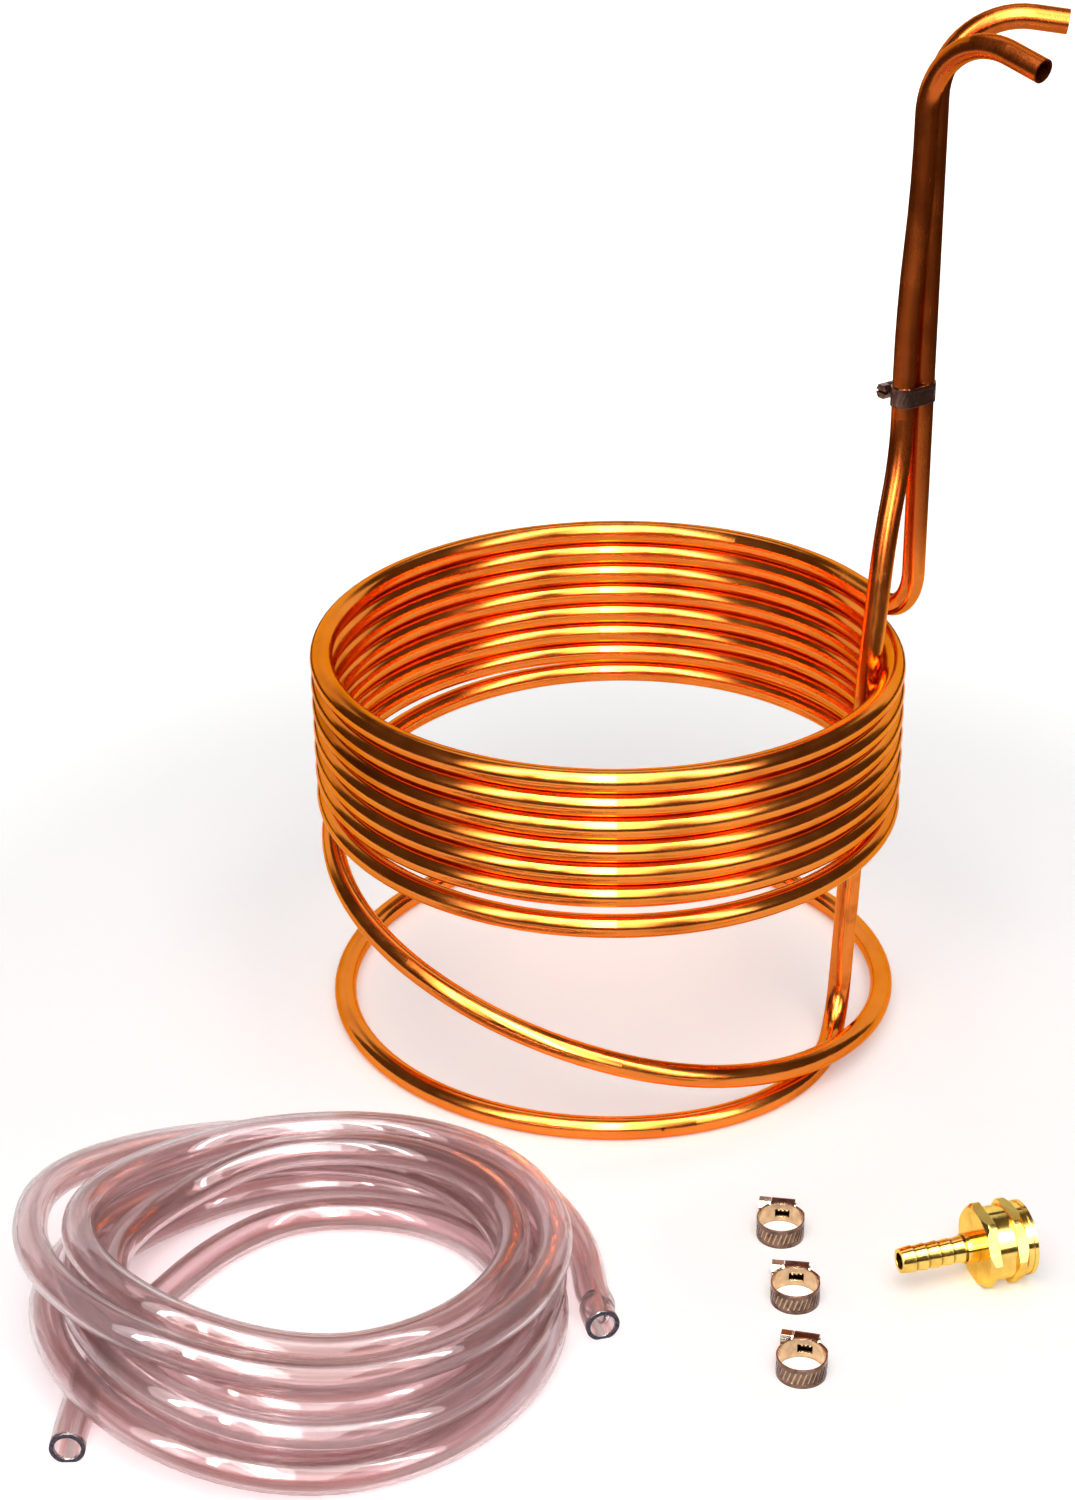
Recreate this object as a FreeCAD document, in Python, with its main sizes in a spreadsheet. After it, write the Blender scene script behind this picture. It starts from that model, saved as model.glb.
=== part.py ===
import FreeCAD, Part
import math
import os
from FreeCAD import Placement, Rotation, Vector

# Immersion wort chiller as it is sold: one long copper tube wound into a cooling coil, a worm clamp
# that ties its two risers together, and the loose kit that joins it to a tap.
# Origin: on the floor, on the axis of the winding. +Z up, -Y towards the front, millimetres.

SIZES = {
    # Copper tube
    "tube_outer": 9.525,
    "tube_wall": 0.81,
    "tube_gap": 0.55,
    "floor_flat": 0.5,
    # Main winding
    "winding_radius": 119.3,
    "winding_side": 0.0,
    "winding_back": 0.0,
    "winding_top": 168.8,
    "row_gap": 0.425,
    "tight_turns": 6,
    # Base loop, which the chiller stands on
    "base_inset": 1.0,
    "base_side": 1.9,
    "base_back": 1.2,
    "foot_bend": 20.0,
    "foot_inset": 15.6,
    "foot_angle": 22.0,
    # Risers and hooks
    "pass_angle": 9.0,
    "leave_angle": 27.0,
    "leave_run": 26.0,
    "leave_rise": 0.25,
    "riser_bend": 22.0,
    "riser_gap": 0.475,
    "riser_side_angle": 214.5,
    "riser_top_gap": 1.375,
    "riser_top_angle": 244.0,
    "short_riser_height": 391.0,
    "short_hook_bend": 31.0,
    "short_hook_heading": -7.4,
    "short_hook_dip": 7.3,
    "short_hook_end": 13.0,
    "long_riser_height": 386.3,
    "long_hook_bend": 30.7,
    "long_hook_heading": -49.0,
    "long_hook_dip": 14.5,
    "long_hook_end": 16.6,
    "riser_clamp_height": 272.0,
    # Worm clamps
    "band_width": 8.0,
    "band_thick": 0.6,
    "groove_deep": 0.25,
    "groove_wide": 0.8,
    "groove_long": 5.0,
    "groove_step": 2.0,
    "loose_clamp_bore": 17.2,
    "lap_start": 0.4,
    "saddle_thick": 0.6,
    "screw_thread": 4.6,
    "screw_core": 3.6,
    "screw_gap": 0.35,
    "screw_lift": 0.7,
    "screw_head": 5.6,
    "head_long": 4.0,
    "head_flange": 0.35,
    "slot_wide": 1.0,
    "slot_deep": 1.3,
    "ridge_wide": 0.8,
    "window_play": 0.4,
    "housing_long": 9.0,
    "housing_wall": 0.6,
    "clamp_1_side": 60.7,
    "clamp_1_back": -184.6,
    "clamp_1_turn": -10.0,
    "clamp_2_side": 62.8,
    "clamp_2_back": -224.8,
    "clamp_2_turn": -8.0,
    "clamp_3_side": 61.3,
    "clamp_3_back": -266.8,
    "clamp_3_turn": -14.0,
    # Vinyl hose
    "hose_outer": 12.7,
    "hose_bore": 9.525,
    "hose_side": -119.6,
    "hose_back": -226.3,
    "hose_layer_gap": 0.9,
    "hose_hump_gap": 1.9,
    # Brass hose fitting
    "barb_outer": 10.3,
    "barb_root": 9.2,
    "barb_pitch": 4.95,
    "barb_count": 5,
    "stem_bore": 6.4,
    "stem_collar": 11.5,
    "stem_reach": 30.3,
    "swivel_play": 0.05,
    "nut_thread": 26.2,
    "nut_thread_deep": 0.35,
    "nut_thread_pitch": 2.2,
    "nut_wall": 1.15,
    "nut_corner_round": 1.65,
    "nut_chamfer": 1.5,
    "nut_ridge": 4.3,
    "nut_groove": 7.0,
    "nut_groove_deep": 0.3,
    "nut_rim": 4.2,
    "nut_rim_lower": 0.1,
    "nut_back_wall": 3.0,
    "flange_thick": 1.8,
    "flange_proud": 3.5,
    "washer_thick": 3.0,
    "washer_sunk": 0.2,
    "washer_play": 0.1,
    "seat_step": 0.5,
    "washer_bore": 16.0,
    "fitting_side": 101.5,
    "fitting_back": -221.4,
    "fitting_turn": 16.0,
}

PARTS_FOLDER = "parts"
UP = Vector(0, 0, 1)


def make_sheet(doc):
    """Spreadsheet of the driving sizes, one named cell each."""
    sheet = doc.addObject("Spreadsheet::Sheet", "Sizes")
    for row, (name, value) in enumerate(SIZES.items(), start=1):
        sheet.set(f"A{row}", name)
        sheet.set(f"B{row}", str(value))
        sheet.setAlias(f"B{row}", name)
    doc.recompute()
    return sheet


def flat_angle(degrees):
    """Unit vector in the floor plane at an angle from +X."""
    return Vector(math.cos(math.radians(degrees)), math.sin(math.radians(degrees)), 0)


def unit(vector):
    copy = Vector(vector)
    copy.normalize()
    return copy


# Paths are lists of knots, each a point and the direction of travel there.

def tangent_arc(start, heading, end):
    """Arc that leaves start along heading and passes end, or a line where it is straight."""
    chord = end - start
    ahead = unit(chord)
    aside = heading - ahead * heading.dot(ahead)
    if aside.Length < 1e-6:
        return Part.LineSegment(start, end).toShape()
    turn = math.acos(max(-1.0, min(1.0, heading.dot(ahead))))
    middle = start + chord * 0.5 + unit(aside) * (chord.Length / 2 * math.tan(turn / 2))
    return Part.Arc(start, middle, end).toShape()


def biarc(knot, following):
    """Two arcs that join two knots and keep both directions."""
    (start, out), (end, arrive) = knot, following
    gap = end - start
    square = 2 * (1 - out.dot(arrive))
    linear = 2 * gap.dot(out + arrive)
    if square < 1e-9:
        reach = gap.dot(gap) / linear
    else:
        reach = (-linear + math.sqrt(linear ** 2 + 4 * square * gap.dot(gap))) / (2 * square)
    if gap.cross(out).Length < 1e-6 and gap.cross(arrive).Length < 1e-6:
        return [Part.LineSegment(start, end).toShape()]
    joint = (start + out * reach + end - arrive * reach) * 0.5
    first = tangent_arc(start, out, joint)
    back = tangent_arc(end, arrive * -1, joint)
    second_middle = back.valueAt((back.FirstParameter + back.LastParameter) / 2)
    if back.Curve.TypeId == "Part::GeomLine":
        return [first, Part.LineSegment(joint, end).toShape()]
    return [first, Part.Arc(joint, second_middle, end).toShape()]


def path_wire(knots):
    edges = []
    for knot, following in zip(knots, knots[1:]):
        edges += biarc(knot, following)
    return Part.Wire(edges)


def tube_along(wire, knots, outer, bore):
    """Hollow tube: a pipe shell of the outside less one of the bore."""
    point, heading = knots[0]
    skins = []
    for diameter in (outer, bore):
        ring = Part.Wire([Part.Circle(point, heading, diameter / 2).toShape()])
        skins.append(wire.makePipeShell([ring], True, False))
    return skins[0].cut(skins[1])


def measure_gap(wire, diameter, name):
    """Least gap of a wound tube to itself, measured on points of its centre line."""
    spacing = 4.0
    apart = 4 * diameter
    points = wire.discretize(Distance=spacing)
    stride = int(apart / spacing)
    cells = {}
    for index, point in enumerate(points):
        key = tuple(int(math.floor(c / (2 * diameter))) for c in point)
        cells.setdefault(key, []).append(index)
    nearest = 1e9
    for (a, b, c), members in cells.items():
        around = [(a + i, b + j, c + k) for i in (-1, 0, 1) for j in (-1, 0, 1) for k in (-1, 0, 1)]
        near = [other for key in around for other in cells.get(key, [])]
        for index in members:
            for other in near:
                if other - index > stride:
                    nearest = min(nearest, segment_gap(points, index, other))
    print(f"{name}: length {wire.Length:.0f} mm, least gap to itself {nearest - diameter:.2f} mm")


def segment_gap(points, index, other):
    """Distance from one point to the run of line around another."""
    best = 1e9
    for step in (-1, 0):
        if 0 <= other + step and other + step + 1 < len(points):
            start, end = points[other + step], points[other + step + 1]
            run = end - start
            along = max(0.0, min(1.0, (points[index] - start).dot(run) / run.dot(run)))
            best = min(best, (points[index] - start - run * along).Length)
    return best


def check_volume(shape, wire, outer, bore, name):
    expected = math.pi / 4 * (outer ** 2 - bore ** 2) * wire.Length
    print(f"{name}: volume {shape.Volume:.0f} mm3, section times length {expected:.0f} mm3")


# Copper tube

# Quarter turns under the tight rows: drop below the last of them in rows, and fall per turn there.
SLACK_ROW = [(0.462, 18.0), (0.884, 10.0), (0.965, 3.0), (1.035, 20.0), (2.613, 112.0)]
# Quarter turns of the slope that follows: rise above the floor loop, and fall per turn there.
SLOPE = [(30.9, 222.0), (2.3, 30.0), (0.0, 0.0), (0.0, 0.0)]
# Where the base loop ends and the long riser begins, in turns past the tight rows.
BASE_END = 2.54


def row_pitch(size):
    return size("tube_outer") + size("row_gap")


def winding_knot(size, turn, height, fall):
    """Knot on the winding: turns count down from the back of the top row."""
    blend = max(0.0, min(1.0, (turn - 7.0) / 0.75))
    radius = size("winding_radius") - size("base_inset") * blend
    centre = Vector(size("winding_side"), size("winding_back"), 0) * (1 - blend)
    centre = centre + Vector(size("base_side"), size("base_back"), 0) * blend
    angle = 90 + 360 * turn
    outward = flat_angle(angle)
    heading = flat_angle(angle + 90) * (2 * math.pi * radius) - UP * fall
    return centre + outward * radius + UP * height, unit(heading)


def winding_knots(size):
    """Tight rows, a slack lowest row, the slope down and the base loop, by quarter turns."""
    pitch = row_pitch(size)
    top = size("winding_top")
    floor = size("tube_outer") / 2 - size("floor_flat")
    tight_turns = int(size("tight_turns"))
    leave = -(90 - size("leave_angle")) / 360
    turns = [leave] + [quarter / 4 for quarter in range(0, 4 * tight_turns + 1)]
    knots = [winding_knot(size, turn, top - pitch * turn, pitch) for turn in turns]
    leaving_point, leaving_way = knots[0]
    knots[0] = (leaving_point + UP * size("leave_rise"), leaving_way)
    last = top - pitch * tight_turns
    for quarter, (drop, fall) in enumerate(SLACK_ROW, start=1):
        knots.append(winding_knot(size, tight_turns + quarter / 4, last - pitch * drop, fall))
    # The slope meets the floor over a quarter turn and the base loop follows it round.
    for quarter, (rise, fall) in enumerate(SLOPE, start=len(SLACK_ROW) + 1):
        knots.append(winding_knot(size, tight_turns + quarter / 4, floor + rise, fall))
    knots.append(winding_knot(size, tight_turns + BASE_END, floor, 0.0))
    return knots


def hook_knots(foot, height, bend, heading, dip, end):
    """Riser top: an arc over to the side, then a straight end that dips a little."""
    side = flat_angle(heading)
    spring = Vector(foot.x, foot.y, height)
    centre = spring + side * bend
    knots = [(spring, UP)]
    for angle in (45.0, 90.0 + dip):
        turned = math.radians(angle)
        point = centre - side * (bend * math.cos(turned)) + UP * (bend * math.sin(turned))
        knots.append((point, side * math.sin(turned) + UP * math.cos(turned)))
    point, direction = knots[-1]
    knots.append((point + direction * end, direction))
    return knots


def riser_spread(size):
    """Between the axes of the two risers where the clamp holds them."""
    return size("tube_outer") + size("riser_gap")


def riser_feet(size):
    """Where the short riser stands, from the way that the top row leaves the winding."""
    start, _ = winding_knot(size, -(90 - size("leave_angle")) / 360, 0, 0)
    leaving = flat_angle(size("leave_angle") - 90)
    short = start + leaving * (size("leave_run") + size("riser_bend"))
    at_clamp = short + flat_angle(size("riser_side_angle")) * riser_spread(size)
    at_top = short + flat_angle(size("riser_top_angle")) * (size("tube_outer") + size("riser_top_gap"))
    return short, at_clamp, at_top, leaving


def short_riser_knots(size):
    """From the open end of the short hook down to the winding."""
    short, _, _, leaving = riser_feet(size)
    row = size("winding_top") + row_pitch(size) * (90 - size("leave_angle")) / 360
    row += size("leave_rise")
    hook = hook_knots(short, size("short_riser_height"), size("short_hook_bend"),
                      size("short_hook_heading"), size("short_hook_dip"), size("short_hook_end"))
    bend = size("riser_bend")
    foot = (Vector(short.x, short.y, row + bend), UP)
    level = (short - leaving * bend + UP * row, leaving)
    up_the_riser = [level, foot] + hook
    return [(point, direction * -1) for point, direction in reversed(up_the_riser)]


def long_riser_knots(size):
    """From the base loop up through the inside of the winding to the open end of the long hook."""
    short, at_clamp, at_top, _ = riser_feet(size)
    floor = size("tube_outer") / 2 - size("floor_flat")
    centre = Vector(size("winding_side"), size("winding_back"), 0)
    inside = size("winding_radius") - size("tube_outer") - size("tube_gap")
    past_row = centre + flat_angle(-size("pass_angle")) * inside + UP * size("winding_top")
    foot_heading = unit(Vector(0.25, 0.97, 0))
    corner = Vector(size("base_side"), size("base_back"), 0)
    turn_in = size("winding_radius") - size("base_inset") - size("foot_inset")
    corner = corner + flat_angle(-size("foot_angle")) * turn_in + UP * floor
    up_riser = unit(past_row - corner)
    half_turn = math.acos(foot_heading.dot(up_riser)) / 2
    reach = size("foot_bend") * math.tan(half_turn)
    lean = unit(at_clamp + UP * size("riser_clamp_height") - past_row)
    straight = size("band_width") / 2 + 5
    knots = [
        (corner - foot_heading * reach, foot_heading),
        (corner + up_riser * reach, up_riser),
        (past_row - up_riser * 20, up_riser),
        (past_row + lean * 30, unit(up_riser + lean * 2)),
        (at_clamp + UP * (size("riser_clamp_height") - straight), UP),
        (at_clamp + UP * (size("riser_clamp_height") + straight), UP),
    ]
    hook = hook_knots(at_top, size("long_riser_height"), size("long_hook_bend"),
                      size("long_hook_heading"), size("long_hook_dip"), size("long_hook_end"))
    return knots + hook


def make_copper_tube(doc, size):
    """One unbroken tube from the short hook's end to the long hook's end."""
    knots = short_riser_knots(size) + winding_knots(size) + long_riser_knots(size)
    wire = path_wire(knots)
    outer = size("tube_outer")
    bore = outer - 2 * size("tube_wall")
    shape = tube_along(wire, knots, outer, bore)
    measure_gap(wire, outer, "copper tube")
    check_volume(shape, wire, outer, bore, "copper tube")
    for name, (point, heading) in (("short hook", knots[0]), ("long hook", knots[-1])):
        print(name, "end", [round(c, 3) for c in point], "heading", [round(c, 4) for c in heading])
    floor = Part.makeBox(400, 400, 10, Vector(-200, -200, -10))
    feature = doc.addObject("Part::Feature", "copper_tube")
    feature.Shape = shape.cut(floor)
    feature.Placement = Placement()
    return feature


# Vinyl hose

# Distance from the middle of the coil at its left, back, right and front, turn by turn.
HOSE_REACH = [
    60, 51, 77.8, 87.3,
    77.5, 71.5, 91.7, 101.6,
    92.5, 83, 91.5, 96,
    80.5, 69, 77.6, 81.8,
    67, 56, 79, 68.5,
    80, 70.2, 94, 82,
    98, 97.5, 106.5,
]
# Layer that each of those places lies in, counted from the floor.
HOSE_LAYER = [
    0, 0, 0, 0,
    0, 0, 0, 0,
    0, 1, 1, 1,
    1, 1, 1, 1,
    1, 2, 2, 2,
    2, 2, 2, 2,
    2, 0.4, 0,
]
# The two loose ends lie flat on the floor; the turns at the left ride over the first of them.
HOSE_START = [(-195.7, -308.6), (-195.4, -293.8), (-191.6, -266.3), (-175.1, -229.3), (-150.6, -193.8)]
HOSE_END = [(-11.6, -236.3), (-9.2, -246.1)]


def smooth_between(values, place):
    """Smooth curve through evenly spaced values."""
    last = len(values) - 1
    low = max(0, min(last - 1, int(math.floor(place))))
    part = place - low
    before, here = values[max(low - 1, 0)], values[low]
    after, beyond = values[low + 1], values[min(low + 2, last)]
    return 0.5 * (2 * here + (after - before) * part
                  + (2 * before - 5 * here + 4 * after - beyond) * part ** 2
                  + (3 * here - before - 3 * after + beyond) * part ** 3)


def ease_between(values, place):
    """Level at each value, with a soft step from one to the next."""
    low = max(0, min(len(values) - 2, int(math.floor(place))))
    part = place - low
    part = part * part * (3 - 2 * part)
    return values[low] * (1 - part) + values[low + 1] * part


def hose_point(size, place):
    """Point on the coil: place counts quarter turns from the left of the first turn."""
    reach = smooth_between(HOSE_REACH, place)
    if place > 24:
        reach += 3.5 * abs(math.sin(math.pi * place))
    height = size("hose_outer") / 2 - size("floor_flat")
    height += (size("hose_outer") + size("hose_layer_gap")) * ease_between(HOSE_LAYER, place)
    over_end = (place - 3.66 + 2) % 4 - 2
    if place > 2 and abs(over_end) < 0.95:
        hump = size("hose_outer") + size("hose_hump_gap")
        height += hump * math.cos(math.pi / 2 * over_end / 0.95) ** 2
    middle = Vector(size("hose_side"), size("hose_back"), 0)
    return middle + flat_angle(180 - 90 * place) * reach + UP * height


def hose_knots(size):
    """The coil by half of a quarter turn, with its two ends on the floor."""
    floor = UP * (size("hose_outer") / 2 - size("floor_flat"))
    points = [Vector(x, y, 0) + floor for x, y in HOSE_START]
    points += [hose_point(size, step / 2) for step in range(2, 53)]
    points += [Vector(x, y, 0) + floor for x, y in HOSE_END]
    headings = []
    for before, point, after in zip(points, points[1:], points[2:]):
        arriving, leaving = point - before, after - point
        headings.append(unit(unit(arriving) * leaving.Length + unit(leaving) * arriving.Length))
    headings = [unit(points[1] - points[0])] + headings + [unit(points[-1] - points[-2])]
    headings[1] = headings[0]
    headings[-2] = headings[-1]
    return list(zip(points, headings))


def make_hose(doc, size):
    knots = hose_knots(size)
    wire = path_wire(knots)
    outer = size("hose_outer")
    shape = tube_along(wire, knots, outer, size("hose_bore"))
    measure_gap(wire, outer, "hose")
    check_volume(shape, wire, outer, size("hose_bore"), "hose")
    floor = Part.makeBox(400, 400, 10, Vector(-300, -400, -10))
    feature = doc.addObject("Part::Feature", "vinyl_hose")
    feature.Shape = shape.cut(floor)
    feature.Placement = Placement()
    return feature


# Primitives bound to the sheet. Texts are expressions in which S is the sheet.

def bound(item, values):
    for name, text in values.items():
        item.setExpression(name, text.replace("S.", "Sizes."))
    return item


def box(doc, name, length, width, height, x="0", y="0", z="0"):
    item = doc.addObject("Part::Box", name)
    return bound(item, {"Length": length, "Width": width, "Height": height,
                        "Placement.Base.x": x, "Placement.Base.y": y, "Placement.Base.z": z})


def rod(doc, name, radius, length, x="0", y="0", z="0", along="x"):
    item = doc.addObject("Part::Cylinder", name)
    if along == "x":
        item.Placement = Placement(Vector(), Rotation(Vector(0, 1, 0), 90))
    return bound(item, {"Radius": radius, "Height": length,
                        "Placement.Base.x": x, "Placement.Base.y": y, "Placement.Base.z": z})


def taper(doc, name, near, far, length, x):
    item = doc.addObject("Part::Cone", name)
    item.Placement = Placement(Vector(), Rotation(Vector(0, 1, 0), 90))
    return bound(item, {"Radius1": near, "Radius2": far, "Height": length, "Placement.Base.x": x})


def hexagon(doc, name, across_flats, length, x="0", y="0", z="0"):
    item = doc.addObject("Part::Prism", name)
    item.Polygon = 6
    item.Placement = Placement(Vector(), Rotation(Vector(0, 1, 0), 90) * Rotation(UP, 30))
    return bound(item, {"Circumradius": f"({across_flats}) / cos(30)", "Height": length,
                        "Placement.Base.x": x, "Placement.Base.y": y, "Placement.Base.z": z})


def join(doc, name, items):
    item = doc.addObject("Part::MultiFuse", name)
    item.Shapes = items
    return item


def cut(doc, name, base, tools):
    item = doc.addObject("Part::Cut", name)
    item.Base = base
    item.Tool = tools[0] if len(tools) == 1 else join(doc, name + "_tools", tools)
    return item


def common(doc, name, base, tool):
    item = doc.addObject("Part::Common", name)
    item.Base = base
    item.Tool = tool
    return item


def finish(item, label, placement):
    item.Label = label
    item.Placement = placement
    return item


# Worm clamps, drawn with the band round the Z axis, the housing at +Y and the screw head at -X

def band_outline(radius, half_span):
    """Closed line round one tube, or round two tubes that stand side by side along X."""
    if half_span == 0:
        return Part.Wire([Part.Circle(Vector(), UP, radius).toShape()])
    right, left = Vector(half_span, 0, 0), Vector(-half_span, 0, 0)
    reach = Vector(0, radius, 0)
    bulge = Vector(radius, 0, 0)
    return Part.Wire([
        Part.Arc(right - reach, right + bulge, right + reach).toShape(),
        Part.LineSegment(right + reach, left + reach).toShape(),
        Part.Arc(left + reach, left - bulge, left - reach).toShape(),
        Part.LineSegment(left - reach, right - reach).toShape(),
    ])


def band_grooves(size, outline, width, half_span):
    """Slanted screw slots round the outside of the band, clear of the housing."""
    deep, wide, tall = size("groove_deep"), size("groove_wide"), size("groove_long")
    places = outline.discretize(Distance=size("groove_step"))
    grooves = []
    for place in places[:-1]:
        beside = place.x - max(-half_span, min(half_span, place.x))
        facing = math.degrees(math.atan2(place.y, beside))
        if place.y > 0 and abs(place.x) < size("housing_long") / 2 + 2:
            continue
        groove = Part.makeBox(2 * deep, wide, tall, Vector(-deep, -wide / 2, -tall / 2))
        groove.rotate(Vector(), Vector(1, 0, 0), -18)
        groove.rotate(Vector(), UP, facing)
        groove.translate(place + UP * (width / 2))
        grooves.append(groove)
    return grooves


def make_band(doc, size, label, inner_radius, half_span, placement):
    """Band with its screw slots, the window under the screw and the free end lapped over it."""
    thick, width = size("band_thick"), size("band_width")
    inside = band_outline(inner_radius, half_span)
    outside = band_outline(inner_radius + thick, half_span)
    ring = Part.Face(outside).cut(Part.Face(inside)).extrude(UP * width)
    seat = inner_radius + thick
    lapped = band_outline(seat + thick, half_span)
    tail_outer = Part.Face(lapped).cut(Part.Face(outside)).extrude(UP * width)
    start = size("housing_long") / 2 + size("lap_start")
    lap = Part.makeBox(40, seat + 2 * thick, width, Vector(start, seat * 0.45, 0))
    tail = tail_outer.common(lap)
    window = Part.makeBox(size("screw_thread") + 1, 4 * thick, size("screw_core"),
                          Vector(-size("screw_thread") / 2 - 0.5, inner_radius - 2 * thick,
                                 (width - size("screw_core")) / 2))
    shape = ring.fuse(tail).cut([window] + band_grooves(size, outside, width, half_span))
    feature = doc.addObject("Part::Feature", label)
    feature.Shape = shape.removeSplitter()
    return finish(feature, label, placement)


def make_clamp(doc, size, prefix, held, half_span, placement):
    """Four pieces of one worm clamp round what it holds: band, saddle, housing and screw."""
    seat = f"(S.{held} / 2 + S.band_thick)"
    top = f"({seat} + S.saddle_thick)"
    axis = f"({top} + S.screw_lift + S.screw_thread / 2)"
    middle = "S.band_width / 2"
    half = "S.housing_long / 2"
    bore = "(S.screw_thread / 2 + S.screw_gap)"
    neck = "(S.screw_core / 2)"
    hole = f"({neck} + S.swivel_play)"
    outer = f"({bore} + S.housing_wall)"

    band = make_band(doc, size, f"{prefix}_band", size(held) / 2, half_span, placement)

    if half_span == 0:
        saddle_skin = rod(doc, f"{prefix}_saddle_skin", top, "S.band_width", along="z")
        saddle_core = rod(doc, f"{prefix}_saddle_core", seat, "S.band_width", along="z")
        saddle_ring = cut(doc, f"{prefix}_saddle_ring", saddle_skin, [saddle_core])
        saddle_reach = box(doc, f"{prefix}_saddle_reach", "S.housing_long", f"{top} + 1",
                           "S.band_width", f"-{half}", "0")
        saddle_blank = common(doc, f"{prefix}_saddle_blank", saddle_ring, saddle_reach)
    else:
        saddle_blank = box(doc, f"{prefix}_saddle_blank", "S.housing_long", "S.saddle_thick",
                           "S.band_width", f"-{half}", seat)
    wide, tall = "(S.screw_thread + 4 * S.window_play)", "(S.screw_core + S.window_play)"
    window = box(doc, f"{prefix}_window", wide, "2 * S.saddle_thick + 2", tall,
                 f"-{wide} / 2", f"{seat} - 1", f"{middle} - {tall} / 2")
    saddle = cut(doc, f"{prefix}_saddle", saddle_blank, [window])

    walls = box(doc, f"{prefix}_walls", "S.housing_long", f"{axis} - {seat} + 3", f"2 * {outer}",
                f"-{half}", f"{seat} - 3", f"{middle} - {outer}")
    crown = rod(doc, f"{prefix}_crown", outer, "S.housing_long", f"-{half}", axis, middle)
    shell = join(doc, f"{prefix}_shell", [walls, crown])
    cavity = rod(doc, f"{prefix}_cavity", bore, "S.housing_long - 2 * S.housing_wall",
                 f"-{half} + S.housing_wall", axis, middle)
    throat = box(doc, f"{prefix}_throat", "S.housing_long - 2 * S.housing_wall", f"{axis} - {seat} + 4",
                 f"2 * {bore}", f"-{half} + S.housing_wall", f"{seat} - 4", f"{middle} - {bore}")
    bearing = rod(doc, f"{prefix}_bearing", hole, "S.housing_long + 2", f"-{half} - 1", axis, middle)
    if half_span == 0:
        under = rod(doc, f"{prefix}_under", top, "S.band_width + 2", z="-1", along="z")
    else:
        under = box(doc, f"{prefix}_under", "S.housing_long + 2", f"{top} + 4", "S.band_width + 2",
                    f"-{half} - 1", "-4", "-1")
    housing = cut(doc, f"{prefix}_housing", shell, [cavity, throat, bearing, under])

    core = rod(doc, f"{prefix}_core", neck, "S.housing_long + S.head_long + 1.3",
               f"-{half} - S.head_long - 0.8", axis, middle)
    ridges = [core]
    pitch = "((S.housing_long - 2 * S.housing_wall - 2 * S.ridge_wide) / 4)"
    for number in range(5):
        start = f"-{half} + S.housing_wall + S.ridge_wide / 2 + {number} * {pitch}"
        ridges.append(rod(doc, f"{prefix}_ridge_{number + 1}", "S.screw_thread / 2", "S.ridge_wide",
                          start, axis, middle))
    flange = rod(doc, f"{prefix}_flange", "S.screw_head / 2 + S.head_flange", "0.6",
                 f"-{half} - 0.9", axis, middle)
    head = hexagon(doc, f"{prefix}_head", "S.screw_head / 2", "S.head_long",
                   f"-{half} - 0.9 - S.head_long", axis, middle)
    blank = join(doc, f"{prefix}_screw_blank", ridges + [flange, head])
    slot = box(doc, f"{prefix}_slot", "S.slot_deep", "S.screw_head + 2", "S.slot_wide",
               f"-{half} - 0.91 - S.head_long", f"{axis} - S.screw_head / 2 - 1",
               f"{middle} - S.slot_wide / 2")
    screw = cut(doc, f"{prefix}_screw", blank, [slot])

    doc.recompute()
    return [band] + [finish(item, f"{prefix}_{name}", placement) for item, name in
                     ((saddle, "saddle"), (housing, "housing"), (screw, "screw"))]


# Brass fitting, drawn with the barb's tip at the origin and its axis along +X

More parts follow.
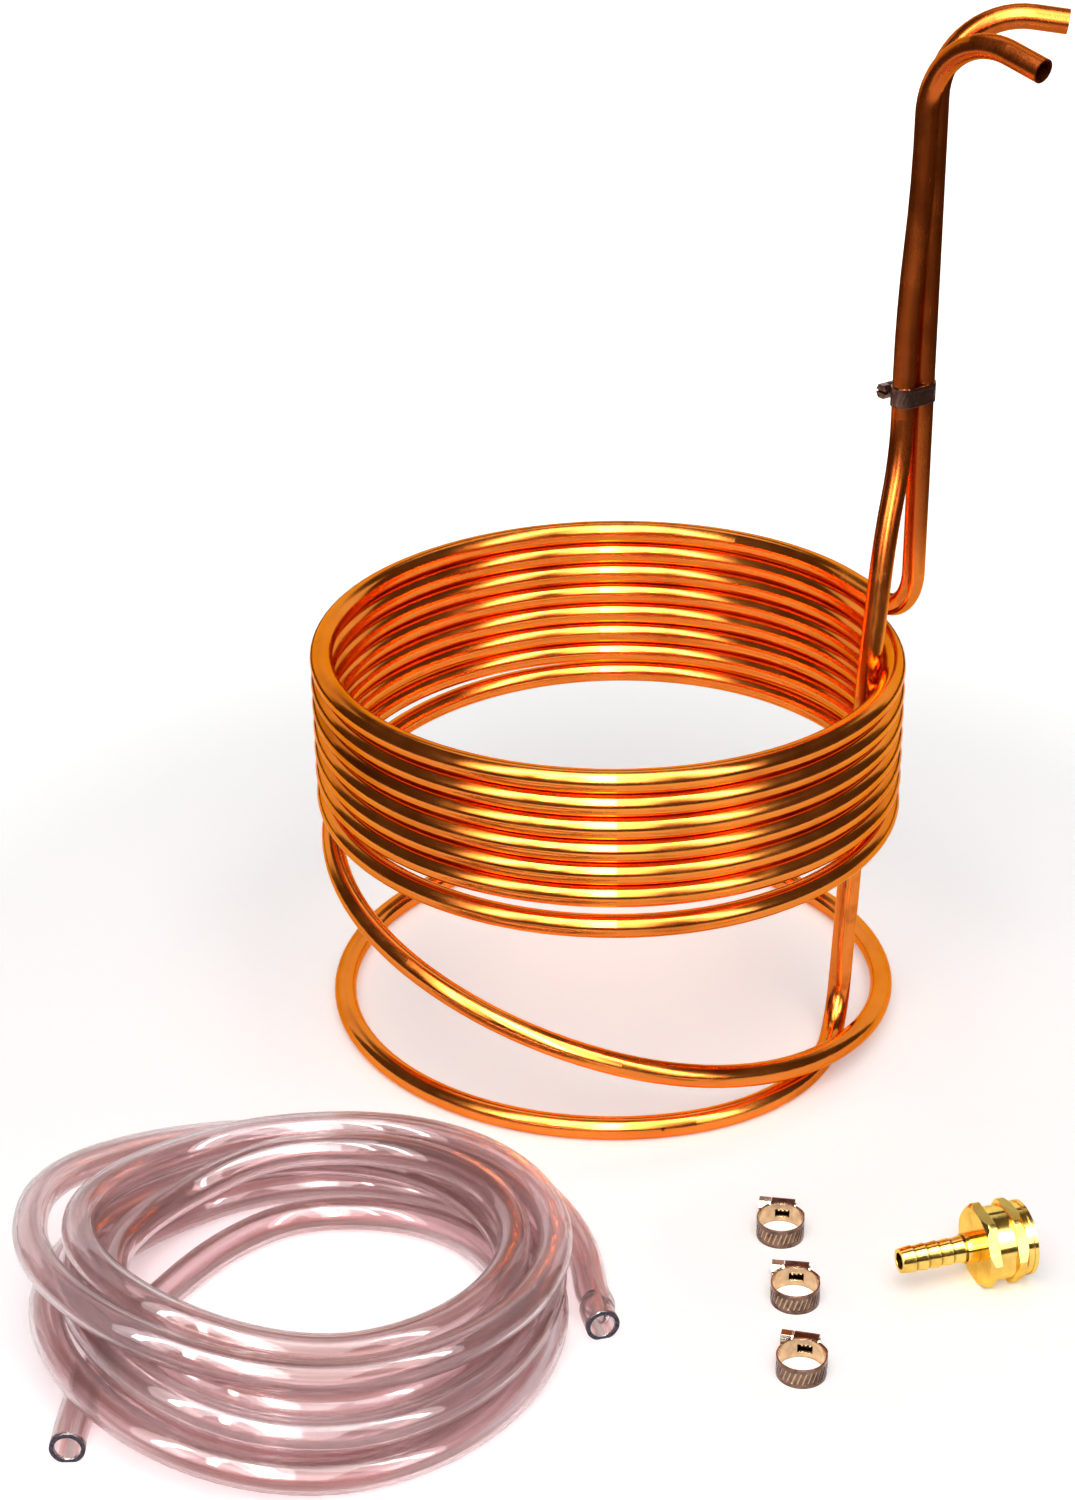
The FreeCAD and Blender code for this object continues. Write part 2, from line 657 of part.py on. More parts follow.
def make_fitting(doc, size):
    barb_length = "(S.barb_count * S.barb_pitch)"
    nut_start = "S.stem_reach"
    flange_start = f"({nut_start} + S.nut_back_wall + 0.3)"
    washer_start = f"({flange_start} + S.flange_thick)"

    solids = []
    for number in range(int(size("barb_count"))):
        solids.append(taper(doc, f"barb_{number + 1}", "S.barb_root / 2", "S.barb_outer / 2",
                            "S.barb_pitch", f"{number} * S.barb_pitch"))
    solids.append(rod(doc, "stem_core", "S.barb_root / 2", f"{flange_start} + 1"))
    solids.append(rod(doc, "stem_neck", "S.stem_collar / 2", f"{flange_start} - {barb_length} - 0.8",
                      f"{barb_length} + 0.8"))
    solids.append(rod(doc, "stem_flange", "S.stem_collar / 2 + S.flange_proud", "S.flange_thick",
                      flange_start))
    stem_blank = join(doc, "stem_blank", solids)
    stem_bore = rod(doc, "stem_bore", "S.stem_bore / 2", f"{washer_start} + 2", "-1")
    stem = cut(doc, "barb_stem", stem_blank, [stem_bore])

    washer_blank = rod(doc, "washer_blank", "S.nut_thread / 2 - S.seat_step - S.washer_play",
                       "S.washer_thick", washer_start)
    washer_hole = rod(doc, "washer_hole", "S.washer_bore / 2", "S.washer_thick + 2", f"{washer_start} - 1")
    washer = cut(doc, "hose_washer", washer_blank, [washer_hole])

    second = f"{nut_start} + S.nut_ridge + S.nut_groove"
    rim = f"{second} + S.nut_ridge"
    half_flats = "(S.nut_thread / 2 + S.nut_wall)"
    lip = f"({half_flats} - S.nut_rim_lower)"
    corner = f"({half_flats} + S.nut_corner_round)"
    turned_length = "(2 * S.nut_ridge + S.nut_groove - 2 * S.nut_chamfer)"
    turned = join(doc, "nut_turned", [
        taper(doc, "nut_back_chamfer", f"{half_flats} + 0.2", corner, "S.nut_chamfer", nut_start),
        rod(doc, "nut_middle", corner, turned_length, f"{nut_start} + S.nut_chamfer"),
        taper(doc, "nut_front_chamfer", corner, f"{half_flats} + 0.2", "S.nut_chamfer",
              f"{rim} - S.nut_chamfer"),
    ])
    hexagons = join(doc, "nut_hexagons", [
        hexagon(doc, "nut_ridge_1", half_flats, "S.nut_ridge", nut_start),
        hexagon(doc, "nut_ridge_2", half_flats, "S.nut_ridge", second),
    ])
    ridges = [
        common(doc, "nut_ridges", hexagons, turned),
        rod(doc, "nut_waist", f"{half_flats} - S.nut_groove_deep", "S.nut_groove + 2",
            f"{nut_start} + S.nut_ridge - 1"),
        rod(doc, "nut_collar", f"{lip} - S.nut_thread_deep", "S.nut_rim", rim),
        rod(doc, "nut_lip", lip, "1.6", f"{rim} + S.nut_rim - 1.6"),
    ]
    nut_blank = join(doc, "nut_blank", ridges)
    length = "(2 * S.nut_ridge + S.nut_groove + S.nut_rim)"
    root = "(S.nut_thread / 2 + S.nut_thread_deep)"
    thread_start = f"({washer_start} + S.washer_thick + S.washer_sunk)"
    tools = [
        rod(doc, "nut_bore", "S.nut_thread / 2", f"{length}", thread_start),
        rod(doc, "nut_seat", "S.nut_thread / 2 - S.seat_step", f"{length} - S.nut_back_wall - 1",
            f"{nut_start} + S.nut_back_wall"),
        rod(doc, "nut_eye", "S.stem_collar / 2 + S.swivel_play", "S.nut_back_wall + 2", f"{nut_start} - 1"),
    ]
    for number in range(4):
        tools.append(rod(doc, f"nut_thread_{number + 1}", root, "S.nut_thread_pitch / 2",
                         f"{nut_start} + {length} - 2.6 - {number} * S.nut_thread_pitch"))
    nut = cut(doc, "swivel_nut", nut_blank, tools)
    doc.recompute()
    placement = fitting_placement(size)
    return [finish(item, label, placement) for item, label in
            ((stem, "barb_stem"), (washer, "hose_washer"), (nut, "swivel_nut"))]


def fitting_placement(size):
    """On its side, with a flat of the nut on the floor and the barb in the air."""
    tip = Vector(size("fitting_side"), size("fitting_back"), size("nut_thread") / 2 + size("nut_wall"))
    return Placement(tip, Rotation(UP, size("fitting_turn")))


# Run

def write_parts(doc, pieces):
    doc.recompute()
    for item in doc.Objects:
        if "Invalid" in item.State or "Error" in item.State:
            raise RuntimeError(f"{item.Name} failed: {item.State}")
    os.makedirs(PARTS_FOLDER, exist_ok=True)
    for piece in pieces:
        shape = piece.Shape
        if shape.isNull() or not shape.isValid():
            raise RuntimeError(f"{piece.Label} has no valid shape")
        shape.exportStep(os.path.join(PARTS_FOLDER, f"{piece.Label}.step"))
        low, high = shape.BoundBox.ZMin, shape.BoundBox.ZMax
        print(f"{piece.Label}: {len(shape.Solids)} solid, {shape.Volume:.1f} mm3, z {low:.2f} to {high:.2f}")


def riser_clamp_placement(size):
    short, long, _, _ = riser_feet(size)
    middle = (short + long) * 0.5 + UP * (size("riser_clamp_height") - size("band_width") / 2)
    return Placement(middle, Rotation(UP, size("riser_side_angle") - 180))


def loose_clamp_placement(size, number):
    side, back, turn = (size(f"clamp_{number}_{name}") for name in ("side", "back", "turn"))
    return Placement(Vector(side, back, 0), Rotation(UP, turn))


document = FreeCAD.newDocument("wort_chiller")
sizes = make_sheet(document)
size = sizes.get
built = [make_copper_tube(document, size), make_hose(document, size)]
built += make_clamp(document, size, "riser_clamp", "tube_outer", riser_spread(size) / 2,
                    riser_clamp_placement(size))
for number in (1, 2, 3):
    built += make_clamp(document, size, f"hose_clamp_{number}", "loose_clamp_bore", 0,
                        loose_clamp_placement(size, number))
built += make_fitting(document, size)
write_parts(document, built)
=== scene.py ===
import math

import bpy
from mathutils import Matrix, Vector


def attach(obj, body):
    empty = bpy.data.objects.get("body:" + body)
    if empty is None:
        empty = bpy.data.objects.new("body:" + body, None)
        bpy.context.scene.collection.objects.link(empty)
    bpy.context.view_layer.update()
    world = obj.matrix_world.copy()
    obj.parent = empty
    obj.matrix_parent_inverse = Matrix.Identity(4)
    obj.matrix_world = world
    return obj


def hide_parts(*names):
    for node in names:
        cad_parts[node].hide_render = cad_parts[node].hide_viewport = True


# Immersion wort chiller with its loose kit: copper coil, worm clamps, clear hose and brass fitting.
# Metres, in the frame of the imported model: origin on the floor, on the axis of the winding, +Z up.

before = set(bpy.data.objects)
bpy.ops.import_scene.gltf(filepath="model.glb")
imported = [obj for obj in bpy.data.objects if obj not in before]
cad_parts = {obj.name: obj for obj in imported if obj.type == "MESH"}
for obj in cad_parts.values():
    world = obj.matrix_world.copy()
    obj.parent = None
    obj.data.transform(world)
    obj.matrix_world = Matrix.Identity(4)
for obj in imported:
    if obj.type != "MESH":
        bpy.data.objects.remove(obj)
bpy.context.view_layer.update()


# Camera
# It stands a good metre in front of the winding, a little left of it and above it, and looks
# down on the whole kit with a slight roll. A medium long lens keeps the rings of the coil round.

CAMERA_PLACE = Vector((-0.0298, -1.0646, 0.6514))
CAMERA_DOWN = math.radians(26.62)
CAMERA_ROLL = math.radians(-0.9)
CAMERA_LENS = 67.2
CAMERA_SENSOR = 36.0
CAMERA_NEAREST = 0.02

camera_data = bpy.data.cameras.new("camera")
camera_data.lens = CAMERA_LENS
camera_data.sensor_width = CAMERA_SENSOR
camera_data.sensor_fit = "AUTO"
camera_data.clip_start = CAMERA_NEAREST
camera = bpy.data.objects.new("camera", camera_data)
ahead = Vector((0, math.cos(CAMERA_DOWN), -math.sin(CAMERA_DOWN)))
level = Vector((1, 0, 0))
above = level.cross(ahead)
side = level * math.cos(CAMERA_ROLL) + above * math.sin(CAMERA_ROLL)
up = above * math.cos(CAMERA_ROLL) - level * math.sin(CAMERA_ROLL)
turn = Matrix((side, up, -ahead)).transposed()
camera.matrix_world = Matrix.Translation(CAMERA_PLACE) @ turn.to_4x4()
bpy.context.scene.collection.objects.link(camera)
bpy.context.scene.camera = camera


# Clear hose
# About 3.4 m of clear flexible vinyl hose, 12.7 mm outside and 9.5 mm inside, dropped in a loose
# pile of six and a half turns. The turns differ in size, and both cut ends lie on the floor.

HOSE_OUTER = 0.0127
HOSE_BORE = 0.009525
HOSE_MIDDLE = Vector((-0.1196, -0.2263, 0))
HOSE_HEIGHT = HOSE_OUTER / 2 - 0.0005
HOSE_LAYER_STEP = HOSE_OUTER + 0.0009
HOSE_HUMP = HOSE_OUTER + 0.0019
HOSE_HUMP_FROM = 2
HOSE_HUMP_AT = 3.66
HOSE_HUMP_HALF = 0.95
HOSE_SLACK = 3.5
HOSE_SLACK_FROM = 24
HOSE_QUARTERS = 26

# How far out, in millimetres, and in which layer the hose lies at each quarter turn.
HOSE_REACH = [
    60, 51, 77.8, 87.3,
    77.5, 71.5, 91.7, 101.6,
    92.5, 83, 91.5, 96,
    80.5, 69, 77.6, 81.8,
    67, 56, 79, 68.5,
    80, 70.2, 94, 82,
    98, 97.5, 106.5,
]
HOSE_LAYER = [
    0, 0, 0, 0,
    0, 0, 0, 0,
    0, 1, 1, 1,
    1, 1, 1, 1,
    1, 2, 2, 2,
    2, 2, 2, 2,
    2, 0.4, 0,
]

# Where the two ends lie on the floor, in millimetres.
HOSE_START = [(-195.7, -308.6), (-195.4, -293.8), (-191.6, -266.3), (-175.1, -229.3), (-150.6, -193.8)]
HOSE_END = [(-11.6, -236.3), (-9.2, -246.1)]
HOSE_STEPS = 10
HOSE_END_STEPS = 4
HOSE_SIDES = 40

VINYL_CLEAR = (0.86, 0.755, 0.765)
VINYL_STREAKED = (0.56, 0.40, 0.385)
VINYL_SHADOW = (0.80, 0.66, 0.69)
VINYL_LINES = (2.0, 5.0, 5.0)
VINYL_STREAKS = (8.0, 1.3, 1.3)
CUT_DARK = (0.012, 0.008, 0.022)
CUT_PALE = (0.035, 0.022, 0.05)


def smooth_between(values, place):
    """Smooth curve through evenly spaced values."""
    last = len(values) - 1
    low = max(0, min(last - 1, math.floor(place)))
    part = place - low
    before, here = values[max(low - 1, 0)], values[low]
    after, beyond = values[low + 1], values[min(low + 2, last)]
    return 0.5 * (2 * here + (after - before) * part
                  + (2 * before - 5 * here + 4 * after - beyond) * part ** 2
                  + (3 * here - before - 3 * after + beyond) * part ** 3)


def ease_between(values, place):
    """Level at each value, with a soft step from one to the next."""
    low = max(0, min(len(values) - 2, math.floor(place)))
    part = place - low
    part = part * part * (3 - 2 * part)
    return values[low] * (1 - part) + values[low + 1] * part


def hose_point(place):
    """Point on the pile: place counts quarter turns from the left of the first turn."""
    reach = smooth_between(HOSE_REACH, place)
    if place > HOSE_SLACK_FROM:
        reach += HOSE_SLACK * abs(math.sin(math.pi * place))
    height = HOSE_HEIGHT + HOSE_LAYER_STEP * ease_between(HOSE_LAYER, place)
    over_end = (place - HOSE_HUMP_AT + 2) % 4 - 2
    if place > HOSE_HUMP_FROM and abs(over_end) < HOSE_HUMP_HALF:
        height += HOSE_HUMP * math.cos(math.pi / 2 * over_end / HOSE_HUMP_HALF) ** 2
    angle = math.radians(180 - 90 * place)
    outward = Vector((math.cos(angle), math.sin(angle), 0))
    return HOSE_MIDDLE + outward * reach / 1000 + Vector((0, 0, height))


def hose_route():
    """Control points from the left end, round the turns, to the right end."""
    turns = [hose_point(step / HOSE_STEPS)
             for step in range(HOSE_STEPS, HOSE_QUARTERS * HOSE_STEPS + 1)]
    start = [Vector((x / 1000, y / 1000, HOSE_HEIGHT)) for x, y in HOSE_START]
    finish = [Vector((x / 1000, y / 1000, HOSE_HEIGHT)) for x, y in HOSE_END]
    lead_in = start + [turns[0], turns[HOSE_STEPS // 2]]
    lead_out = [turns[-1 - HOSE_STEPS // 2], turns[-1]] + finish
    points = [smooth_between(lead_in, step / HOSE_END_STEPS)
              for step in range(HOSE_END_STEPS * len(start))]
    points += turns
    points += [smooth_between(lead_out, 1 + step / HOSE_END_STEPS)
               for step in range(1, HOSE_END_STEPS * len(finish) + 1)]
    return points


def centre_line(points):
    """Points along the smooth spline that has the route's points as its control points."""
    curve = bpy.data.curves.new("hose_route", "CURVE")
    curve.dimensions = "3D"
    curve.resolution_u = 2
    spline = curve.splines.new("NURBS")
    spline.points.add(len(points) - 1)
    for knot, point in zip(spline.points, points):
        knot.co = (*point, 1)
    spline.order_u = 3
    spline.use_endpoint_u = True
    carrier = bpy.data.objects.new("hose_route", curve)
    line = bpy.data.meshes.new_from_object(carrier)
    found = [vertex.co.copy() for vertex in line.vertices]
    bpy.data.objects.remove(carrier)
    bpy.data.curves.remove(curve)
    bpy.data.meshes.remove(line)
    return found


def rings_along(path, radius, sides):
    """Rings of points square to the path, turned as little as can be from one to the next."""
    rings = []
    before = (path[1] - path[0]).normalized()
    out = before.cross(Vector((0, 0, 1))).normalized()
    for index, point in enumerate(path):
        following = path[min(index + 1, len(path) - 1)]
        earlier = path[max(index - 1, 0)]
        heading = (following - earlier).normalized()
        out = before.rotation_difference(heading) @ out
        out = (out - heading * out.dot(heading)).normalized()
        across = heading.cross(out)
        before = heading
        ring = []
        for number in range(sides):
            angle = 2 * math.pi * number / sides
            ring.append(point + (out * math.cos(angle) + across * math.sin(angle)) * radius)
        rings.append(ring)
    return rings


def make_hose_mesh(path):
    """Outer wall, bore and two cut faces. The vinyl lies flat where it meets the floor."""
    outer = rings_along(path, HOSE_OUTER / 2, HOSE_SIDES)
    inner = rings_along(path, HOSE_BORE / 2, HOSE_SIDES)
    points = [point for rings in (outer, inner) for ring in rings for point in ring]
    for point in points:
        point.z = max(point.z, 0.0)
    faces, kinds = [], []
    count = len(path)
    for wall in (0, 1):
        base = wall * count * HOSE_SIDES
        for row in range(count - 1):
            for number in range(HOSE_SIDES):
                beside = (number + 1) % HOSE_SIDES
                corner = base + row * HOSE_SIDES
                quad = (corner + number, corner + beside,
                        corner + HOSE_SIDES + beside, corner + HOSE_SIDES + number)
                faces.append(quad if wall == 0 else quad[::-1])
                kinds.append(0)
    for row, turned in ((0, True), (count - 1, False)):
        for number in range(HOSE_SIDES):
            beside = (number + 1) % HOSE_SIDES
            out = row * HOSE_SIDES
            inn = (count + row) * HOSE_SIDES
            quad = (out + number, out + beside, inn + beside, inn + number)
            faces.append(quad[::-1] if turned else quad)
            kinds.append(1)
    mesh = bpy.data.meshes.new("vinyl_hose_clear")
    mesh.from_pydata([tuple(point) for point in points], [], faces)
    mesh.polygons.foreach_set("material_index", kinds)
    mesh.polygons.foreach_set("use_smooth", [kind == 0 for kind in kinds])
    lengths = [0.0]
    for start, end in zip(path, path[1:]):
        lengths.append(lengths[-1] + (end - start).length)
    layer = mesh.uv_layers.new(name="along_and_round")
    for polygon in mesh.polygons:
        seam = polygon.index % HOSE_SIDES == HOSE_SIDES - 1
        for loop in polygon.loop_indices:
            vertex = mesh.loops[loop].vertex_index % (count * HOSE_SIDES)
            around = vertex % HOSE_SIDES
            if seam and around == 0:
                around = HOSE_SIDES
            layer.data[loop].uv = (lengths[vertex // HOSE_SIDES], around / HOSE_SIDES)
    return mesh


def new_material(name):
    """Empty node material, with its tree, its shader and its output."""
    material = bpy.data.materials.new(name)
    material.use_nodes = True
    tree = material.node_tree
    tree.nodes.clear()
    output = tree.nodes.new("ShaderNodeOutputMaterial")
    shader = tree.nodes.new("ShaderNodeBsdfPrincipled")
    tree.links.new(shader.outputs["BSDF"], output.inputs["Surface"])
    return material, tree, shader, output


def add(tree, kind, inputs=None, **properties):
    """Node of a kind, with its sockets set from a dictionary and its properties from keywords."""
    node = tree.nodes.new(kind)
    for name, value in (inputs or {}).items():
        node.inputs[name].default_value = value
    for name, value in properties.items():
        setattr(node, name, value)
    return node


def calculate(tree, operation, first, second=None, clamp=False):
    """Math node on sockets or plain numbers."""
    node = add(tree, "ShaderNodeMath", operation=operation, use_clamp=clamp)
    for index, value in enumerate((first, second)):
        if isinstance(value, (int, float)):
            node.inputs[index].default_value = value
        elif value is not None:
            tree.links.new(value, node.inputs[index])
    return node.outputs[0]


def blend_colours(tree, amount, first, second, mode="MIX"):
    """Mix of two colours, each a socket or three numbers."""
    node = add(tree, "ShaderNodeMix", data_type="RGBA", blend_type=mode)
    for socket, value in ((node.inputs[0], amount), (node.inputs[6], first), (node.inputs[7], second)):
        if hasattr(value, "links"):
            tree.links.new(value, socket)
        elif isinstance(value, (int, float)):
            socket.default_value = value
        else:
            socket.default_value = (*value, 1)
    return node.outputs[2]


def stretch(tree, value, low, high, new_low, new_high):
    """Map a range of values to another, and hold it at the ends."""
    node = add(tree, "ShaderNodeMapRange",
               inputs={"From Min": low, "From Max": high, "To Min": new_low, "To Max": new_high})
    tree.links.new(value, node.inputs["Value"])
    return node.outputs["Result"]


def noise(tree, vector, scale, detail=3.0, roughness=0.5):
    """Noise of about one blotch for each 1/scale metre."""
    node = add(tree, "ShaderNodeTexNoise",
               inputs={"Scale": scale, "Detail": detail, "Roughness": roughness})
    tree.links.new(vector, node.inputs["Vector"])
    return node.outputs["Fac"]


def drawn_noise(tree, vector, scale, detail):
    """Noise drawn out by a scale of its own in each direction."""
    scaled = add(tree, "ShaderNodeMapping", inputs={"Scale": scale})
    tree.links.new(vector, scaled.inputs["Vector"])
    return noise(tree, scaled.outputs["Vector"], 1.0, detail)


def bump(tree, shader, height, strength, distance):
    """Fine relief from a height. The node comes back, for rounded edges under the relief."""
    node = add(tree, "ShaderNodeBump", inputs={"Strength": strength, "Distance": distance})
    tree.links.new(height, node.inputs["Height"])
    tree.links.new(node.outputs["Normal"], shader.inputs["Normal"])
    return node


def make_clear_vinyl():
    """Clear vinyl with a faint rose tint, soft streaks and draw lines along it, and a little haze."""
    material, tree, shader, output = new_material("clear_vinyl")
    place = add(tree, "ShaderNodeTexCoord").outputs["Object"]
    along = add(tree, "ShaderNodeUVMap", uv_map="along_and_round").outputs["UV"]
    run = add(tree, "ShaderNodeSeparateXYZ")
    tree.links.new(along, run.inputs[0])
    angle = calculate(tree, "MULTIPLY", run.outputs[1], 2 * math.pi)
    around = add(tree, "ShaderNodeCombineXYZ")
    tree.links.new(run.outputs[0], around.inputs[0])
    tree.links.new(calculate(tree, "COSINE", angle), around.inputs[1])
    tree.links.new(calculate(tree, "SINE", angle), around.inputs[2])
    lines = drawn_noise(tree, around.outputs[0], VINYL_LINES, 2.0)
    streaks = drawn_noise(tree, around.outputs[0], VINYL_STREAKS, 2.0)
    cloud = noise(tree, place, 30.0, 4.0)
    tint = blend_colours(tree, stretch(tree, streaks, 0.38, 0.62, 0.0, 1.0),
                         VINYL_STREAKED, VINYL_CLEAR)
    tree.links.new(tint, shader.inputs["Base Color"])
    shader.inputs["Transmission Weight"].default_value = 0.93
    shader.inputs["IOR"].default_value = 1.53
    haze = stretch(tree, cloud, 0.35, 0.75, 0.02, 0.07)
    tree.links.new(haze, shader.inputs["Roughness"])
    bump(tree, shader, lines, 0.15, 0.0004)
    passing = add(tree, "ShaderNodeBsdfTransparent", inputs={"Color": (*VINYL_SHADOW, 1)})
    ray = add(tree, "ShaderNodeLightPath").outputs["Is Shadow Ray"]
    either = add(tree, "ShaderNodeMixShader")
    tree.links.new(calculate(tree, "MULTIPLY", ray, 0.9), either.inputs[0])
    tree.links.new(shader.outputs["BSDF"], either.inputs[1])
    tree.links.new(passing.outputs["BSDF"], either.inputs[2])
    tree.links.new(either.outputs["Shader"], output.inputs["Surface"])
    return material


def make_cut_vinyl():
    """Cut face of the hose, which looks dark because light leaves it along the wall."""
    material, tree, shader, _ = new_material("cut_vinyl")
    place = add(tree, "ShaderNodeTexCoord").outputs["Object"]
    knife = noise(tree, place, 900.0, 3.0)
    tint = blend_colours(tree, knife, CUT_DARK, CUT_PALE)
    tree.links.new(tint, shader.inputs["Base Color"])
    tree.links.new(stretch(tree, knife, 0.3, 0.7, 0.2, 0.4), shader.inputs["Roughness"])
    shader.inputs["IOR"].default_value = 1.5
    bump(tree, shader, knife, 0.4, 0.0002)
    return material


hose_path = centre_line(hose_route())
hose_mesh = make_hose_mesh(hose_path)
hose_mesh.materials.append(make_clear_vinyl())
hose_mesh.materials.append(make_cut_vinyl())
hose = bpy.data.objects.new("vinyl_hose_clear", hose_mesh)
bpy.context.scene.collection.objects.link(hose)
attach(hose, "hose")
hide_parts("vinyl_hose")


# Copper tube
# Some 7.4 m of soft drawn copper tube, 9.5 mm outside, wound by hand into the coil, the loop it
# stands on, two risers and two hooks. It is bright, with draw lines, finger marks and small stains.

COPPER_BRIGHT = (0.81, 0.245, 0.040)
COPPER_WARM = (0.64, 0.138, 0.019)
COPPER_STAINED = (0.34, 0.066, 0.012)
# The riser colour below is painted shade for the risers above the winding.
COPPER_RISER_PAINTED_SHADE = (0.45, 0.082, 0.014)
COPPER_OXIDE = (0.03, 0.012, 0.008)
COPPER_GLEAM = (1.0, 0.62, 0.36)
TURN_RADIUS = 0.115
WINDING_TOP = 0.172
RISER_FULLY_SHADED_AND_DULL = 0.215


def make_copper():
    """Drawn copper: lines and marks along the tube, warmer patches, painted shade on the rougher
    risers, and a few specks.
    """
    material, tree, shader, _ = new_material("copper_tube")
    place = add(tree, "ShaderNodeTexCoord").outputs["Object"]
    parts = add(tree, "ShaderNodeSeparateXYZ")
    tree.links.new(place, parts.inputs[0])
    x, y, z = parts.outputs
    angle = calculate(tree, "ARCTAN2", y, x)
    reach = calculate(tree, "POWER", calculate(tree, "ADD", calculate(tree, "MULTIPLY", x, x),
                                               calculate(tree, "MULTIPLY", y, y)), 0.5)

    # The first coordinate runs along the tube: round the winding, and up the risers above it.
    wound = add(tree, "ShaderNodeCombineXYZ")
    tree.links.new(calculate(tree, "MULTIPLY", angle, TURN_RADIUS), wound.inputs[0])
    tree.links.new(reach, wound.inputs[1])
    tree.links.new(z, wound.inputs[2])
    upright = add(tree, "ShaderNodeCombineXYZ")
    for index, socket in enumerate((z, x, y)):
        tree.links.new(socket, upright.inputs[index])
    along = add(tree, "ShaderNodeMix", data_type="VECTOR")
    tree.links.new(calculate(tree, "GREATER_THAN", z, WINDING_TOP), along.inputs[0])
    tree.links.new(wound.outputs[0], along.inputs[4])
    tree.links.new(upright.outputs[0], along.inputs[5])

    def streaks(length, width, detail):
        """Noise drawn out along the tube."""
        return drawn_noise(tree, along.outputs[1], (1 / length, 1 / width, 1 / width), detail)

    lines = streaks(0.06, 0.0011, 1.0)
    marks = streaks(0.06, 0.009, 2.0)
    patches = noise(tree, place, 16.0, 4.0, 0.6)
    fingers = noise(tree, place, 60.0, 2.0)
    warm = stretch(tree, patches, 0.4, 0.7, 0.0, 0.55)
    colour = blend_colours(tree, warm, COPPER_BRIGHT, COPPER_WARM)
    # Painted shade: above the winding the risers are darkened towards a dark red-brown.
    riser_painted_shade = stretch(tree, z, WINDING_TOP, RISER_FULLY_SHADED_AND_DULL, 0.0, 0.85)
    colour = blend_colours(tree, riser_painted_shade, colour, COPPER_RISER_PAINTED_SHADE)
    stain = calculate(tree, "MULTIPLY", stretch(tree, marks, 0.52, 0.75, 0.0, 0.75),
                      stretch(tree, patches, 0.42, 0.62, 0.2, 1.0))
    colour = blend_colours(tree, stain, colour, COPPER_STAINED)

    # A few pin-head specks of dark oxide.
    cells = add(tree, "ShaderNodeTexVoronoi", inputs={"Scale": 55.0})
    tree.links.new(place, cells.inputs["Vector"])
    speck = stretch(tree, cells.outputs["Distance"], 0.03, 0.055, 1.0, 0.0)
    speck = calculate(tree, "MULTIPLY", speck, stretch(tree, patches, 0.52, 0.56, 0.0, 0.85))
    colour = blend_colours(tree, speck, colour, COPPER_OXIDE)
    tree.links.new(colour, shader.inputs["Base Color"])

    shader.inputs["Metallic"].default_value = 1.0
    shader.inputs["Specular Tint"].default_value = (*COPPER_GLEAM, 1)
    smear = stretch(tree, fingers, 0.35, 0.7, 0.15, 0.23)
    rough = calculate(tree, "ADD", smear, stretch(tree, lines, 0.3, 0.7, -0.02, 0.02))
    rough = calculate(tree, "ADD", rough, stretch(tree, z, WINDING_TOP, RISER_FULLY_SHADED_AND_DULL, 0.0, 0.07))
    tree.links.new(rough, shader.inputs["Roughness"])
    bump(tree, shader, lines, 0.08, 0.0002)
    return material


def dress(node, material):
    """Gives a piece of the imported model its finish."""
    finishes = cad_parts[node].data.materials
    finishes.clear()
    finishes.append(material)


dress("copper_tube", make_copper())


# Worm clamps
# Four small stainless worm clamps: one draws the two risers together, three lie loose. Each has a
# slotted band, an inner saddle, a pressed housing and a plated hex head screw.

BAND_STEEL = (0.27, 0.165, 0.125)
BAND_DARK = (0.085, 0.045, 0.035)
BAND_BARE = (0.82, 0.60, 0.37)
BAND_BARE_REACH = 0.00904
PLATE_STEEL = (0.62, 0.45, 0.28)
PLATE_DARK = (0.28, 0.18, 0.11)
SCREW_STEEL = (0.74, 0.67, 0.54)
SCREW_DARK = (0.34, 0.27, 0.20)
CLAMP_CENTRES = {
    "riser_clamp": None,
    "hose_clamp_1": (0.0607, -0.1846),
    "hose_clamp_2": (0.0628, -0.2248),
    "hose_clamp_3": (0.0613, -0.2668),
}


def measured_from(tree, place, centre):
    """Place as seen from a centre."""
    moved = add(tree, "ShaderNodeVectorMath", operation="SUBTRACT")
    tree.links.new(place, moved.inputs[0])
    moved.inputs[1].default_value = centre
    return moved.outputs[0]


def round_edges(tree, relief, radius):
    """Edges that catch the light, as if broken with a file."""
    rounded = add(tree, "ShaderNodeBevel", samples=6, inputs={"Radius": radius})
    tree.links.new(rounded.outputs["Normal"], relief.inputs["Normal"])


